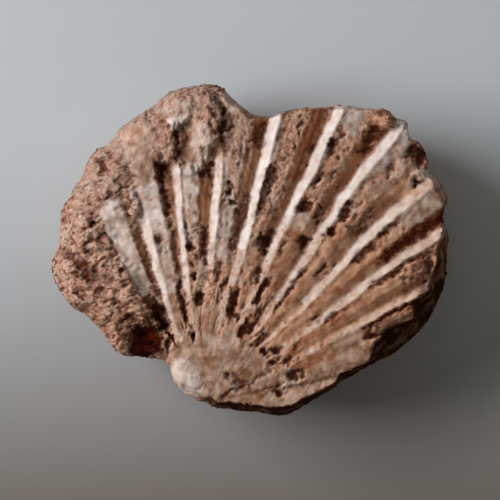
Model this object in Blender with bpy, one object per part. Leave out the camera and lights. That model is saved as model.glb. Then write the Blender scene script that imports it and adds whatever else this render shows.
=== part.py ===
"""A fossil brachiopod: one ribbed shell of two valves, filled with sandy rock and lying on its lower valve.

The upper valve is a low dome with a dozen ribs that fan out from the beak. Rock still covers the
ribs on the left. The lower valve is worn to a flat, on which the fossil rests. Lengths in the
tables are millimetres, and the mesh is written in metres.
"""

import math

import bpy
import numpy as np
from mathutils import Vector, noise
from mathutils.geometry import delaunay_2d_cdt

MM = 0.001
LENGTH_X, LENGTH_Y = 55.4, 46.3  # overall size seen from above
RIM_Z = 9.2  # the widest line, where the two valves meet
RIM_WAVE = 0.5  # how far the ribs carry the rim up and down
RIM_WAVE_AT = (12, 27)  # distances from the beak between which that wave grows to its full height
CROWN_Z = 17.3  # the dome's middle, before ribs and rock
CROWN_MIDDLE = (2.0, -1.0)
CROWN_REACH = 25.0
CROWN_DROPS = (1.2, 3.6, 3.4, 3.9)  # fall at that reach to the right, left, top and beak side
MIDDLE = (-1.4, -1.4)  # every ray from here crosses the outline once
BEAK = (-5.6, -21.3)  # where the ribs start
BASE_INSET = 10.5  # from the rim in to the flat on the underside
LOWER_RIBS = 30  # worn ribs around the whole lower valve
LOWER_RIB = 0.5  # their height
LOWER_SWELL = 0.35  # how far in they are highest, as a share of BASE_INSET
LOWER_LUMP, LOWER_LUMP_SIZE, LOWER_LUMP_SEED = 0.3, 3.0, 5  # worn lumps: height, size
FLAT_FROM = 0.995  # the underside is flat from here in, as a share of BASE_INSET
NOISE_GAIN = 1.6  # brings Perlin noise to about -1 to 1
LEAST_LIFT = 0.05  # keeps the rounded band off the plane of the flat

SPACING = 0.76  # between points on the top
BASE_SPACING = 2.2  # between points on the underside
SHOULDER_ROWS = (0.1, 0.35, 0.72)  # rings of points, as shares of the shoulder's width
CROWN_GAP = 0.65  # clear space inside those rings, as a share of SPACING
LEAST_GAP = 0.61  # scattered points nearer than this to others are left out, as a share of a step
MERGE = 1e-5  # points closer than this are one point
BASE_ROWS = (0.05, 0.2, 0.45, 0.75, 1.02)  # and as shares of BASE_INSET
LONG_EDGE = 1.7  # outline edges longer than this are halved
JITTER = 0.3  # how far scattered points leave their grid, as a share of its step
TOP_SEED, BASE_SEED = 11, 12

# The edge seen from above, clockwise from the lump of rock at the top.
OUTLINE = [
    (-5.5, 23.2), (-4.2, 22.9), (-3.2, 22.0), (-2.4, 21.2), (-1.5, 20.4), (-0.5, 19.6), (0.4, 19.0),
    (1.8, 18.7), (3.0, 18.7), (4.0, 19.2), (5.2, 19.5), (7.0, 19.8), (9.0, 19.9), (11.0, 20.1),
    (12.8, 20.3), (15.0, 20.0), (17.5, 19.7), (19.3, 19.5), (20.3, 18.6), (21.8, 18.0), (22.1, 16.8),
    (22.5, 15.6), (23.6, 15.1), (24.2, 14.2), (24.7, 13.0), (24.9, 12.0), (25.0, 10.8), (26.0, 10.2),
    (26.8, 8.8), (27.5, 7.3), (27.3, 6.0), (27.0, 4.5), (27.4, 3.2), (27.7, 2.0), (27.6, 0.0),
    (27.5, -2.0), (27.3, -4.3), (26.7, -6.2), (26.0, -7.8), (25.4, -9.0), (24.5, -10.3), (23.0, -12.0),
    (21.5, -13.3), (20.0, -14.5), (18.0, -15.5), (16.0, -16.5), (14.2, -17.6), (13.0, -18.2),
    (11.8, -19.2), (10.5, -20.0), (9.0, -20.9), (7.5, -21.8), (6.2, -22.5), (5.0, -23.0), (3.7, -23.1),
    (2.5, -22.9), (1.0, -22.6), (-1.0, -22.5), (-3.0, -22.2), (-5.0, -21.9), (-6.0, -21.3),
    (-7.0, -21.1), (-8.0, -20.6), (-9.2, -20.0), (-10.0, -19.2), (-10.7, -18.3), (-11.0, -17.3),
    (-11.3, -16.2), (-12.0, -15.5), (-13.0, -15.2), (-14.5, -15.0), (-15.8, -14.8), (-17.0, -14.8),
    (-18.5, -14.2), (-19.5, -13.2), (-20.3, -12.0), (-21.0, -11.0), (-22.0, -10.0), (-23.0, -9.0),
    (-24.3, -8.3), (-25.3, -7.5), (-26.0, -6.5), (-27.0, -5.0), (-27.6, -3.5), (-27.7, -2.0),
    (-27.5, -1.0), (-27.0, 0.0), (-26.7, 1.0), (-26.6, 2.5), (-26.5, 4.5), (-26.2, 6.0), (-25.3, 7.5),
    (-24.5, 9.0), (-23.5, 10.3), (-23.0, 11.8), (-22.0, 13.5), (-21.2, 14.3), (-20.2, 14.6),
    (-19.5, 15.3), (-18.6, 16.5), (-18.0, 17.2), (-16.5, 18.3), (-15.2, 19.2), (-14.0, 20.0),
    (-13.0, 20.6), (-12.0, 21.6), (-10.5, 22.4), (-9.0, 22.8), (-7.5, 23.0),
]

# Width of the shoulder inside the rim, by direction from MIDDLE in degrees, and how far it is a
# straight steep break there and not a rounded edge.
SHOULDER = [
    (0, 1.7), (7, 0.9), (45, 1.0), (75, 1.2), (90, 1.6), (110, 2.6), (140, 3.2), (180, 3.6),
    (215, 3.4), (238, 2.4), (250, 1.2), (262, 0.9), (322, 0.9), (327, 2.4), (336, 3.0), (341, 2.2),
    (347, 3.0), (352, 2.0), (360, 1.7),
]
STEEP = [(0, 1), (70, 0.9), (100, 0), (245, 0), (262, 0.9), (300, 1), (360, 1)]

# Direction of each rib crest from the beak, in degrees, at each of these distances from it.
CREST_AT = (10, 18, 26, 34, 44)
CRESTS = [
    (151, 151, 151, 151, 151),
    (141, 141, 141, 141, 141),
    (131, 131, 131, 130, 130),
    (121, 121, 121.6, 119.9, 119),
    (116.3, 112.4, 110.6, 108.4, 108),
    (102.5, 101, 99.4, 98.2, 98.4),
    (96.3, 90.6, 89.2, 88.3, 88),
    (84, 79.7, 77.9, 77.4, 77.2),
    (68.3, 68.3, 67.8, 66.8, 66.4),
    (57.9, 56.8, 56.7, 57.3, 56),
    (48.3, 45.7, 46.6, 46.9, 45),
    (37.4, 37.1, 37.4, 37.3, 36),
    (26.4, 28.5, 28.5, 28.8, 28.8),
    (18.5, 19.1, 21.2, 21.3, 21.3),
    (11.6, 12.6, 12.9, 12.9, 12.9),
]
EAR_RISE = 0.45  # the smooth ear beyond the last groove, as a share of the full rib height
EAR_EDGE = 1.2  # degrees over which the ear rises from the groove
SHARP = 50  # edges that turn by more than this many degrees are drawn sharp
FIRST_OPEN_RIB = 3  # the ribs before this one are wholly under rock

# Height across one rib as a share of its full height: sharp crest, notch beside it, slab top,
# long flank down into the groove, and the steep near flank of the next rib.
RIB_STEP = (0.0, 0.04, 0.12, 0.35, 0.52, 0.66, 0.80, 0.86, 1.0)
RIB_RISE = (1.0, 0.96, 0.74, 0.84, 0.76, 0.36, 0.04, 0.0, 1.0)
# Rows of points along a rib: how far across it they run, and how far from the beak they start.
RIB_ROWS = ((0.0, 7), (0.11, 14), (0.52, 14), (0.84, 7))
RIB_END = 48  # past the outline everywhere
# Full rib height by distance from the beak.
RIB_HEIGHT_AT = (6, 9, 12, 16, 22, 28, 34, 45)
RIB_HEIGHT = (0, 0.2, 0.45, 0.7, 0.95, 1.3, 1.5, 1.6)

# Rock left on the shell: middle x, y, half length, half width, turn in degrees, thickness.
ROCK = [
    (-19.5, 10.0, 8.5, 6.0, 55, 1.5),
    (-14.0, 16.0, 5.5, 5.0, 40, 1.3),
    (-6.2, 18.9, 5.9, 3.0, 95, 1.9),
    (-24.0, 1.5, 7.0, 3.4, 90, 1.4),
    (-21.8, -5.0, 6.8, 6.0, 0, 2.0),
    (-17.5, -6.6, 4.2, 2.4, -30, 1.6),
    (-10.5, 20.6, 3.0, 2.2, 20, 1.3),
    (19.0, 17.9, 1.9, 1.3, 0, 1.2),
]

# Hollows, pits and cracks, in the same form with the depth last.
PITS = [
    (-14.7, -12.1, 4.8, 3.3, -18, 2.8),
    (-13.6, -8.2, 3.6, 1.3, 108, 2.2),
    (-9.5, 15.0, 3.2, 1.2, 100, 1.5),
    (-3.3, 17.0, 4.2, 1.1, 96, 1.3),
    (-14.6, 19.0, 0.9, 0.7, 0, 1.1),
    (-20.3, 12.2, 1.5, 0.9, 90, 1.4),
    (-12.5, 11.4, 1.5, 1.1, 100, 1.6),
    (-23.2, -2.6, 3.2, 1.8, -40, 1.6),
    (19.2, -10.1, 3.5, 1.5, 33, 1.5),
    (11.3, 2.6, 1.2, 1.0, 0, 1.3),
    (-2.7, 8.2, 1.5, 0.7, 90, 1.1),
    (7.5, 6.2, 1.4, 0.8, 40, 1.0),
    (2.2, 1.7, 1.7, 1.2, 60, 0.9),
    (-0.4, -11.0, 1.6, 0.9, 60, 0.9),
    (-2.2, -7.6, 2.4, 0.8, 70, 0.8),
    (3.3, -14.2, 1.6, 0.9, 20, 0.8),
    (6.4, -17.2, 1.4, 0.7, 20, 0.8),
    (4.0, -19.4, 1.3, 0.7, 0, 0.7),
    (-3.0, -17.5, 0.9, 0.7, 90, 0.7),
    (23.0, 13.3, 1.8, 1.3, 30, 1.2),
    (-21.8, 3.6, 0.9, 0.8, 90, 0.9),
]

ROCK_LUMP, ROCK_LUMP_SIZE, ROCK_LUMP_SEED = 0.4, 3.0, 3  # the rock's lumps: height, and how far apart
ROCK_CRUMB, ROCK_CRUMB_SIZE, ROCK_CRUMB_SEED = 0.26, 1.1, 8
SHELL_GRAIN = 0.15  # the same lumps on bare shell, as a share
ROCK_BED = 1.3  # how high the rock fills the grooves
ROCK_EDGE = 2.5  # how quickly a patch of rock hides the ribs from its edge inwards
ROCK_ROUND, PIT_ROUND = 0.6, 0.7  # below 1 these give a flatter middle and a steeper side


def closest(points, line):
    """Distance from each point to a closed line."""
    start = np.array(line)
    along = np.roll(start, -1, axis=0) - start
    best = np.full(len(points), np.inf)
    for a, v in zip(start, along):
        share = np.clip(((points - a) @ v) / (v @ v), 0, 1)
        best = np.minimum(best, np.hypot(*(points - a - share[:, None] * v).T))
    return best


def bearing(points, middle):
    """Direction of each point from the middle, 0 to 360 degrees."""
    x, y = (points - np.array(middle)).T
    return np.degrees(np.arctan2(y, x)) % 360


def blob(points, x, y, half_length, half_width, turn):
    """1 in the middle of an oval and 0 outside it, with a smooth edge."""
    a = math.radians(turn)
    dx, dy = (points - np.array((x, y))).T
    u = (dx * math.cos(a) + dy * math.sin(a)) / half_length
    v = (dy * math.cos(a) - dx * math.sin(a)) / half_width
    reach = np.clip(np.hypot(u, v), 0, 1)
    return 1 - reach**2 * (3 - 2 * reach)


def lumps(points, size, seed):
    """Smooth noise from about -1 to 1 whose lumps are this far apart."""
    return np.array([noise.noise(Vector((x / size, y / size, seed))) for x, y in points]) * NOISE_GAIN


def rounded(share):
    """Rises from 0 at the rim to 1 at the inner end of a shoulder, along a quarter circle."""
    return np.sqrt(1 - (1 - np.clip(share, 0, 1)) ** 2)


def crest_angles(reach):
    """Direction of every rib crest at these distances from the beak."""
    return np.array([np.interp(reach, CREST_AT, crest) for crest in CRESTS])


def ribs(points):
    """Height above the grooves as a share of the full rib height, and that full height."""
    reach = np.hypot(*(points - np.array(BEAK)).T)
    angle = bearing(points, BEAK)
    angle = np.where(angle > 270, angle - 360, angle)
    crests = crest_angles(reach)
    rise = np.interp(crests[-1] - angle, (0, EAR_EDGE), (0, EAR_RISE))
    for left, right in zip(crests, crests[1:]):
        step = (left - angle) / (left - right)
        here = (step >= 0) & (step < 1)
        rise[here] = np.interp(step[here], RIB_STEP, RIB_RISE)
    return rise, np.interp(reach, RIB_HEIGHT_AT, RIB_HEIGHT)


def rim_height(points):
    """Height of the line between the valves, which the ribs carry up and down."""
    reach = np.hypot(*(points - np.array(BEAK)).T)
    return RIM_Z + RIM_WAVE * (ribs(points)[0] - 0.5) * np.interp(reach, RIM_WAVE_AT, (0, 1))


def rock_cover(points):
    """Share of the ribs that the rock hides, and the rock's own thickness."""
    hidden = np.zeros(len(points))
    thickness = np.zeros(len(points))
    for x, y, half_length, half_width, turn, thick in ROCK:
        share = blob(points, x, y, half_length, half_width, turn)
        hidden = np.maximum(hidden, np.clip(share * ROCK_EDGE, 0, 1))
        thickness = np.maximum(thickness, share**ROCK_ROUND * thick)
    return hidden, thickness


def top_height(points):
    """Height of the upper side."""
    toward = bearing(points, MIDDLE)
    share = closest(points, OUTLINE) / np.interp(toward, *zip(*SHOULDER))
    steep = np.interp(toward, *zip(*STEEP))
    x, y = ((points - np.array(CROWN_MIDDLE)) / CROWN_REACH).T
    right, left, up, down = CROWN_DROPS
    crown = CROWN_Z - np.where(x > 0, right, left) * x**2 - np.where(y > 0, up, down) * y**2
    rise, full = ribs(points)
    hidden, thickness = rock_cover(points)
    grain = ROCK_LUMP * lumps(points, ROCK_LUMP_SIZE, ROCK_LUMP_SEED)
    grain += ROCK_CRUMB * lumps(points, ROCK_CRUMB_SIZE, ROCK_CRUMB_SEED)
    crown += rise * full * (1 - hidden) + ROCK_BED * hidden + thickness
    crown += grain * (SHELL_GRAIN + (1 - SHELL_GRAIN) * hidden)
    for *place, depth in PITS:
        crown -= blob(points, *place) ** PIT_ROUND * depth
    rim = rim_height(points)
    return rim + (crown - rim) * (steep * np.clip(share, 0, 1) + (1 - steep) * rounded(share))


def base_height(points):
    """Height of the underside: a rounded, faintly ribbed band and then the worn flat."""
    inward = closest(points, OUTLINE) / BASE_INSET
    band = rim_height(points) * (1 - rounded(inward))
    swell = np.clip(1 - np.abs(inward - LOWER_SWELL) / LOWER_SWELL, 0, 1)
    ridge = 0.5 - 0.5 * np.cos(np.radians(bearing(points, MIDDLE)) * LOWER_RIBS)
    band -= swell * (ridge * LOWER_RIB + LOWER_LUMP * lumps(points, LOWER_LUMP_SIZE, LOWER_LUMP_SEED))
    return np.where(inward >= FLAT_FROM, 0, np.maximum(band, LEAST_LIFT))


def inset(ring, distance):
    """The outline drawn in towards the middle by about this distance."""
    spokes = np.array(MIDDLE) - ring
    return ring + spokes * (np.reshape(distance, (-1, 1)) / np.hypot(*spokes.T)[:, None])


def scattered(step, seed):
    """Points spread over the whole outline, each moved a little from a square grid."""
    across = np.arange(-LENGTH_X / 2, LENGTH_X / 2, step)
    up = np.arange(-LENGTH_Y / 2, LENGTH_Y / 2, step)
    grid = np.stack(np.meshgrid(across, up), axis=-1).reshape(-1, 2)
    return grid + np.random.default_rng(seed).uniform(-JITTER, JITTER, grid.shape) * step


def thinned(points, kept, gap):
    """Those of the points that are farther than the gap from every kept point."""
    far = [np.min(np.hypot(*(kept - p).T)) > gap for p in points]
    return points[np.array(far)]


def inside(points, ring):
    """Whether each point lies within the ring."""
    crossings = np.zeros(len(points), int)
    x, y = points.T
    for (x0, y0), (x1, y1) in zip(ring, np.roll(ring, -1, axis=0)):
        spans = (y0 > y) != (y1 > y)
        at = x0 + (x1 - x0) * (y - y0) / ((y1 - y0) or 1.0)
        crossings += spans & (x < at)
    return crossings % 2 == 1


def rib_rows(room):
    """Rows of points along the crest, notch, slab edge and groove of each open rib."""
    rows = []
    for k in range(FIRST_OPEN_RIB, len(CRESTS) - 1):
        for across, start in RIB_ROWS:
            reach = np.arange(start, RIB_END, SPACING)
            crests = crest_angles(reach)
            angle = np.radians(crests[k] * (1 - across) + crests[k + 1] * across)
            row = np.array(BEAK) + np.stack([np.cos(angle), np.sin(angle)], axis=1) * reach[:, None]
            rows.append(row[room(row)])
    return rows


def sheet(ring, rows, spread, gap):
    """Points and triangles over the ring, through the rows and the spread points. The ring is first."""
    kept = [ring] + [row for row in rows if len(row)]
    kept.append(thinned(spread, np.concatenate(kept), gap))
    flat = np.concatenate(kept)
    made = delaunay_2d_cdt([Vector(p) for p in flat], [], [list(range(len(ring)))[::-1]], 1, MERGE)
    source = [found[0] for found in made[3]]
    return flat, [tuple(source[i] for i in face) for face in made[2]]


def outline_ring():
    """The outline with its long edges halved."""
    ring = []
    for a, b in zip(OUTLINE, OUTLINE[1:] + OUTLINE[:1]):
        ring.append(a)
        if math.dist(a, b) > LONG_EDGE:
            ring.append(((a[0] + b[0]) / 2, (a[1] + b[1]) / 2))
    return np.array(ring)


def build():
    """The whole fossil as one closed mesh, in metres, standing on z = 0 under its own middle."""
    ring = outline_ring()
    width = np.interp(bearing(ring, MIDDLE), *zip(*SHOULDER))
    shoulder = [inset(ring, width * share) for share in SHOULDER_ROWS]
    crown_edge = inset(shoulder[-1], CROWN_GAP * SPACING)

    def room(points):
        return inside(points, crown_edge)

    spread = scattered(SPACING, TOP_SEED)
    top, top_faces = sheet(ring, shoulder + rib_rows(room), spread[room(spread)], SPACING * LEAST_GAP)

    bands = [inset(ring, BASE_INSET * share) for share in BASE_ROWS]
    spread = scattered(BASE_SPACING, BASE_SEED)
    low, low_faces = sheet(ring, bands, spread[inside(spread, bands[0])], BASE_SPACING * LEAST_GAP)

    count = len(ring)
    upper = np.column_stack([top, top_height(top)])
    upper[:count, 2] = rim_height(ring)
    lower = np.column_stack([low, base_height(low)])[count:]
    points = np.concatenate([upper, lower])
    shift = len(top) - count
    faces = top_faces + [tuple(i + shift * (i >= count) for i in face[::-1]) for face in low_faces]
    points[:, :2] -= (points[:, :2].max(axis=0) + points[:, :2].min(axis=0)) / 2
    return points * MM, faces


def stone():
    """Buff shell and brown sandy rock, dull all over."""
    material = bpy.data.materials.new("shell_and_rock")
    material.use_nodes = True
    surface = material.node_tree.nodes["Principled BSDF"]
    surface.inputs["Base Color"].default_value = (0.34, 0.24, 0.18, 1)
    surface.inputs["Roughness"].default_value = 0.9
    surface.inputs["Metallic"].default_value = 0.0
    return material


for old in list(bpy.data.objects):
    bpy.data.objects.remove(old)
points, faces = build()
mesh = bpy.data.meshes.new("brachiopod_fossil")
mesh.from_pydata(points.tolist(), [], faces)
mesh.materials.append(stone())
mesh.validate()
mesh.shade_smooth()
mesh.set_sharp_from_angle(angle=math.radians(SHARP))
fossil = bpy.data.objects.new("brachiopod_fossil", mesh)
bpy.context.scene.collection.objects.link(fossil)
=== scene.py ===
import math
from types import SimpleNamespace

import bpy
import numpy as np
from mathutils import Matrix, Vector, noise


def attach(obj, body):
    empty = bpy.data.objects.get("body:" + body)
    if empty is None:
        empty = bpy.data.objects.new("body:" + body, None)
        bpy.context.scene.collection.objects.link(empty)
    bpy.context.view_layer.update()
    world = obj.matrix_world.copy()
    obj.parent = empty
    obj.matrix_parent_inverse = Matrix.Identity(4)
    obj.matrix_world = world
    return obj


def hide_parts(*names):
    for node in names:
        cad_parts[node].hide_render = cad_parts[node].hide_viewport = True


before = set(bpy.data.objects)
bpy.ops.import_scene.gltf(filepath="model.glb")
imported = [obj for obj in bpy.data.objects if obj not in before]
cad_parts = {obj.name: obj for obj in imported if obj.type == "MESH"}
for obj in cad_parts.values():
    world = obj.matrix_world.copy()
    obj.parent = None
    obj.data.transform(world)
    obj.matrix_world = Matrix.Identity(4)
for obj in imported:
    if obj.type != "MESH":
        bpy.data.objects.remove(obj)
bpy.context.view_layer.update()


# The two valves together, in one low dome that lies on its worn lower valve. They are calcite shell,
# cemented into one stone with the sand that filled them. Seen from above, the edge has a lump of
# rock at the top, a notch beside it, the ends of the ribs down the right and the beak at the bottom.
MIDDLE = (-1.4, -1.4)  # every ray from here crosses the outline once. Sizes are in mm
OUTLINE = [
    (-5.5, 23.2), (-4.2, 22.9), (-3.2, 22), (-2.4, 21.2), (-1.5, 20.4), (-0.5, 19.6), (0.4, 19),
    (1.8, 18.7), (3, 18.7), (4, 19.2), (5.2, 19.5), (7, 19.8), (9, 19.9), (11, 20.1),
    (12.8, 20.3), (15, 20), (17.5, 19.7), (19.3, 19.5), (20.3, 18.6), (21.8, 18), (22.1, 16.8),
    (22.5, 15.6), (23.6, 15.1), (24.2, 14.2), (24.7, 13), (24.9, 12), (25, 10.8), (26, 10.2),
    (26.8, 8.8), (27.5, 7.3), (27.3, 6), (27, 4.5), (27.4, 3.2), (27.7, 2), (27.6, 0),
    (27.5, -2), (27.3, -4.3), (26.7, -6.2), (26, -7.8), (25.4, -9), (24.5, -10.3), (23, -12),
    (21.5, -13.3), (20, -14.5), (18, -15.5), (16, -16.5), (14.2, -17.6), (13, -18.2),
    (11.8, -19.2), (10.5, -20), (9, -20.9), (7.5, -21.8), (6.2, -22.5), (5, -23), (3.7, -23.1),
    (2.5, -22.9), (1, -22.6), (-1, -22.5), (-3, -22.2), (-5, -21.9), (-6, -21.3),
    (-7, -21.1), (-8, -20.6), (-9.2, -20), (-10, -19.2), (-10.7, -18.3), (-11, -17.3),
    (-11.3, -16.2), (-12, -15.5), (-13, -15.2), (-14.5, -15), (-15.8, -14.8), (-17, -14.8),
    (-18.5, -14.2), (-19.5, -13.2), (-20.3, -12), (-21, -11), (-22, -10), (-23, -9),
    (-24.3, -8.3), (-25.3, -7.5), (-26, -6.5), (-27, -5), (-27.6, -3.5), (-27.7, -2),
    (-27.5, -1), (-27, 0), (-26.7, 1), (-26.6, 2.5), (-26.5, 4.5), (-26.2, 6), (-25.3, 7.5),
    (-24.5, 9), (-23.5, 10.3), (-23, 11.8), (-22, 13.5), (-21.2, 14.3), (-20.2, 14.6),
    (-19.5, 15.3), (-18.6, 16.5), (-18, 17.2), (-16.5, 18.3), (-15.2, 19.2), (-14, 20),
    (-13, 20.6), (-12, 21.6), (-10.5, 22.4), (-9, 22.8), (-7.5, 23),
]
CURVE_STEP = 0.2  # share of the way from one of these points to the next
CROWN_Z, CROWN_MIDDLE = 17.3, (2.0, -1.0)  # the dome's top
CROWN_REACH, CROWN_DROPS = 25.0, (1.2, 3.6, 3.4, 3.9)  # fall this far out: right, left, top, beak side


def sorted_turn(angle, value):
    """The angles in order with their values, and one more at each end so that the turn closes."""
    order = np.argsort(angle)
    angle, value = angle[order], value[order]
    angle = np.concatenate([angle[-1:] - 2 * math.pi, angle, angle[:1] + 2 * math.pi])
    return angle, np.concatenate([value[-1:], value, value[:1]])


def outline_reach(angle):
    """Distance from MIDDLE to the outline in these directions, along a smooth curve through its points."""
    line = np.array(OUTLINE) - np.array(MIDDLE)
    before, after, far = [np.roll(line, shift, axis=0) for shift in (1, -1, -2)]
    spans = []
    for t in np.arange(0, 1, CURVE_STEP):
        bend = 2 * before - 5 * line + 4 * after - far + t * (3 * (line - after) + far - before)
        spans.append(line + t / 2 * (after - before + t * bend))
    x, y = np.stack(spans, axis=1).reshape(-1, 2).T
    directions = np.arctan2(y, x) % (2 * math.pi)
    return np.interp(angle % (2 * math.pi), *sorted_turn(directions, np.hypot(x, y)))


def dome(points):
    """Height of the upper side before its ribs, rock and breaks."""
    x, y = ((points - np.array(CROWN_MIDDLE)) / CROWN_REACH).T
    right, left, up, down = CROWN_DROPS
    return CROWN_Z - np.where(x > 0, right, left) * x**2 - np.where(y > 0, up, down) * y**2


# The ribs: a dozen folds of calcite that grew with the upper valve and fan out from the beak. Each has
# a steep cream face with a sharp crest, a flat top and a long back that sinks into the groove before
# the next face. Past the last one lies the ear, beside the beak.
BEAK = (-5.6, -21.3)
CREST_AT = (10, 18, 26, 34, 44)  # mm from the beak
CRESTS = [  # direction of each crest's cream face from the beak there, in degrees
    (151, 151, 151, 151, 151),
    (141, 141, 141, 141, 141),
    (131, 131, 131, 130, 130),
    (121, 123, 121.8, 119.9, 119),
    (116.3, 112.1, 109.9, 108.4, 108),
    (101.9, 100.7, 99.3, 98.2, 98.4),
    (96.1, 90.3, 88.8, 87.9, 88),
    (84, 79.7, 77.9, 77.4, 77.2),
    (68.3, 68.3, 67.8, 66.8, 66.4),
    (57.9, 56.8, 56.7, 57.3, 56),
    (48.3, 46.6, 46.8, 46.5, 45),
    (37.4, 37.1, 37.4, 37.3, 36),
    (26.1, 27.9, 28.0, 28.3, 28.6),
    (18.5, 19.1, 21.2, 21.3, 21.3),
    (11.6, 12.6, 12.9, 12.9, 12.9),
]
EAR = len(CRESTS) - 1
PAST_RIM = 50  # mm from the beak
GONE = (PAST_RIM, PAST_RIM)  # for a crest worn away or buried all along
CREST_SPAN = [  # where each crest is unbroken, in mm from the beak
    GONE, GONE, GONE, GONE, (10, 26), (13, 34), (19, 34.5), (11, PAST_RIM), (11, PAST_RIM),
    (11, PAST_RIM), (11, PAST_RIM), (11, 43), (19.5, 35), GONE, GONE,
]
SPAN_START, SPAN_END = 1.5, 0.8  # mm each way in which a crest comes in and breaks off
FACE_STEP = (-0.60, -0.30, 0.16, 0.62, 0.80, 1.02)  # mm across the cream face, and the height there
FACE_RISE = (0.12, 0.28, 0.64, 1.0, 0.97, 0.87)
BACK_STEP = (0.0, 0.25, 0.50, 0.72, 0.90, 1.0)  # share of the rest of the rib, down to the groove
BACK_RISE = (0.87, 0.85, 0.77, 0.50, 0.22, 0.12)
SIZE_AT, SIZE = (1.5, 3.8, 7.0), (0.4, 1.0, 1.2)  # the faces grow with the spacing of the ribs, in mm
THIN_AT, THIN = (4, 5, 6, 7), (1, 0.8, 0.88, 1)  # and are thinner on two of the crests
GROOVE_AT, GROOVE = (12, 30), (0.4, 1.0)  # share of a groove's full depth, less near the beak
RIB_HEIGHT_AT = (6, 9, 12, 16, 22, 28, 34, 45)  # mm from the beak, and a rib's full height there
RIB_HEIGHT = (0, 0.2, 0.42, 0.65, 0.9, 1.2, 1.35, 1.45)
RIB_WANDER, RIB_WANDER_SIZE = 0.12, 3.5  # the crests' small bends
STEADY_REACH = 8  # nearer the beak than this they bend less
EAR_RISE, EAR_EDGE = 0.45, 1.2  # the ear's share of a rib's height, reached this far in
NO_CREST = 9.0  # mm to a crest that isn't there
LEAST_BACK = 0.1  # mm, even where two faces meet
NOISE_GAIN, NOISE_FADE = 1.6, 1.7  # brings noise to about -1 to 1, and weakens each finer octave


def bearing(points, middle):
    """Direction of each point from the middle, 0 to 360 degrees."""
    x, y = (points - np.array(middle)).T
    return np.degrees(np.arctan2(y, x)) % 360


def smooth(value, low, high):
    """0 below low, 1 above high, and a smooth rise between."""
    share = np.clip((value - low) / (high - low), 0, 1)
    return share**2 * (3 - 2 * share)


def eased(value, places, heights):
    """Like np.interp, with a smooth curve from each place to the next."""
    result = np.full(len(value), float(heights[0]))
    for a, b, low, high in zip(places, places[1:], heights, heights[1:]):
        here = value >= a
        result[here] = low + (high - low) * smooth(value[here], a, b)
    return result


def cloud(points, size, seed, octaves=1):
    """Perlin noise, about -1 to 1, whose lumps are size apart. Each seed gives another pattern."""
    if points.shape[1] == 2:
        points = np.column_stack([points, np.zeros(len(points))])
    total = np.zeros(len(points))
    for octave in range(octaves):
        step = size / 2**octave
        values = [noise.noise(Vector((x / step, y / step, z / step + seed))) for x, y, z in points.tolist()]
        total += np.array(values) * NOISE_GAIN / NOISE_FADE**octave
    return total


def fan(points):
    """For each point: the rib it is on, mm back to its crest, mm on to the next, and mm from the beak."""
    reach = np.hypot(*(points - np.array(BEAK)).T)
    angle = bearing(points, BEAK)
    angle = np.where(angle > 270, angle - 360, angle)  # the ear's run on below 0
    bend = RIB_WANDER * cloud(points, RIB_WANDER_SIZE, seed=31)
    angle += np.degrees(bend / np.maximum(reach, STEADY_REACH))
    crests = np.array([np.interp(reach, CREST_AT, crest) for crest in CRESTS])
    rib = np.full(len(points), -1)
    behind = np.full(len(points), NO_CREST)
    ahead = behind.copy()
    for k, (left, right) in enumerate(zip(crests, crests[1:])):
        here = (angle <= left) & (angle > right)
        rib[here] = k
        behind[here] = np.radians(left - angle)[here] * reach[here]
        ahead[here] = np.radians(angle - right)[here] * reach[here]
    ear = angle <= crests[-1]
    rib[ear] = EAR
    behind[ear] = np.radians(crests[-1] - angle)[ear] * reach[ear]
    return rib, behind, ahead, reach


def unbroken(crest, reach):
    """1 where this crest is whole and 0 where it is worn away or buried."""
    near, far = np.array(CREST_SPAN + [GONE])[crest].T
    whole = smooth(reach, near - SPAN_START, near + SPAN_START)
    return whole * (1 - smooth(reach, far - SPAN_END, far + SPAN_END))


def face(rib, behind, ahead, reach):
    """Place across the nearest crest's cream face in mm, how whole that crest is, and the face's size."""
    size = np.interp(behind + ahead, SIZE_AT, SIZE)
    size *= np.interp(rib + behind / (behind + ahead), THIN_AT, THIN)
    across = np.where(behind < ahead, behind, -ahead) / size
    return across, unbroken(np.where(behind < ahead, rib, rib + 1), reach), size


def rib_rise(rib, behind, ahead, reach):
    """Height above the grooves as a share of the rib's full height."""
    across, whole, size = face(rib, behind, ahead, reach)
    start, end = FACE_STEP[0], FACE_STEP[-1]
    back = (behind - end * size) / np.maximum(behind + ahead - (end - start) * size, LEAST_BACK)
    rise = eased(across, FACE_STEP, FACE_RISE)
    worn = np.minimum(rise, FACE_RISE[-1])
    rise = worn + (rise - worn) * whole
    rise = np.where((across > end) | (across < start), eased(back, BACK_STEP, BACK_RISE), rise)
    below = np.maximum(FACE_RISE[-1] - rise, 0)
    rise += below * (1 - np.interp(reach, GROOVE_AT, GROOVE))
    rise = np.where(rib == EAR, EAR_RISE * smooth(behind, 0, EAR_EDGE), rise)
    return np.where(rib < 0, 0, rise)


# The rim, where the valves meet in a line that the ribs carry up and down. The upper valve rounds over to it
# on the left. On the right and at the beak it has broken off steeply, and that steep side, turned away from
# the light, is painted dark as shade.
RIM_Z, RIM_WAVE = 9.2, 0.5  # height of the line, and how far it goes up and down
RIM_WAVE_AT = (12, 27)  # mm from the beak where the line is still straight and where it is wavy
SHOULDER = [  # width of the band that falls to the rim, by direction from MIDDLE in degrees
    (0, 1.7), (3, 1.5), (7, 0.8), (20, 0.7), (27, 0.35), (60, 0.35), (75, 0.35), (90, 0.7),
    (110, 2.6), (140, 3.2), (180, 3.6), (215, 3.4), (238, 2.4), (250, 1.2), (262, 0.8), (275, 1),
    (284, 1.3), (291, 1.35), (300, 0.9), (308, 0.8), (312, 1), (317, 0.7), (322, 0.8), (326, 2.2),
    (329, 3), (336, 3.2), (341, 1.9), (344, 2.6), (347, 3.2), (351, 1.9), (355, 2.3), (360, 1.7),
]
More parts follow.
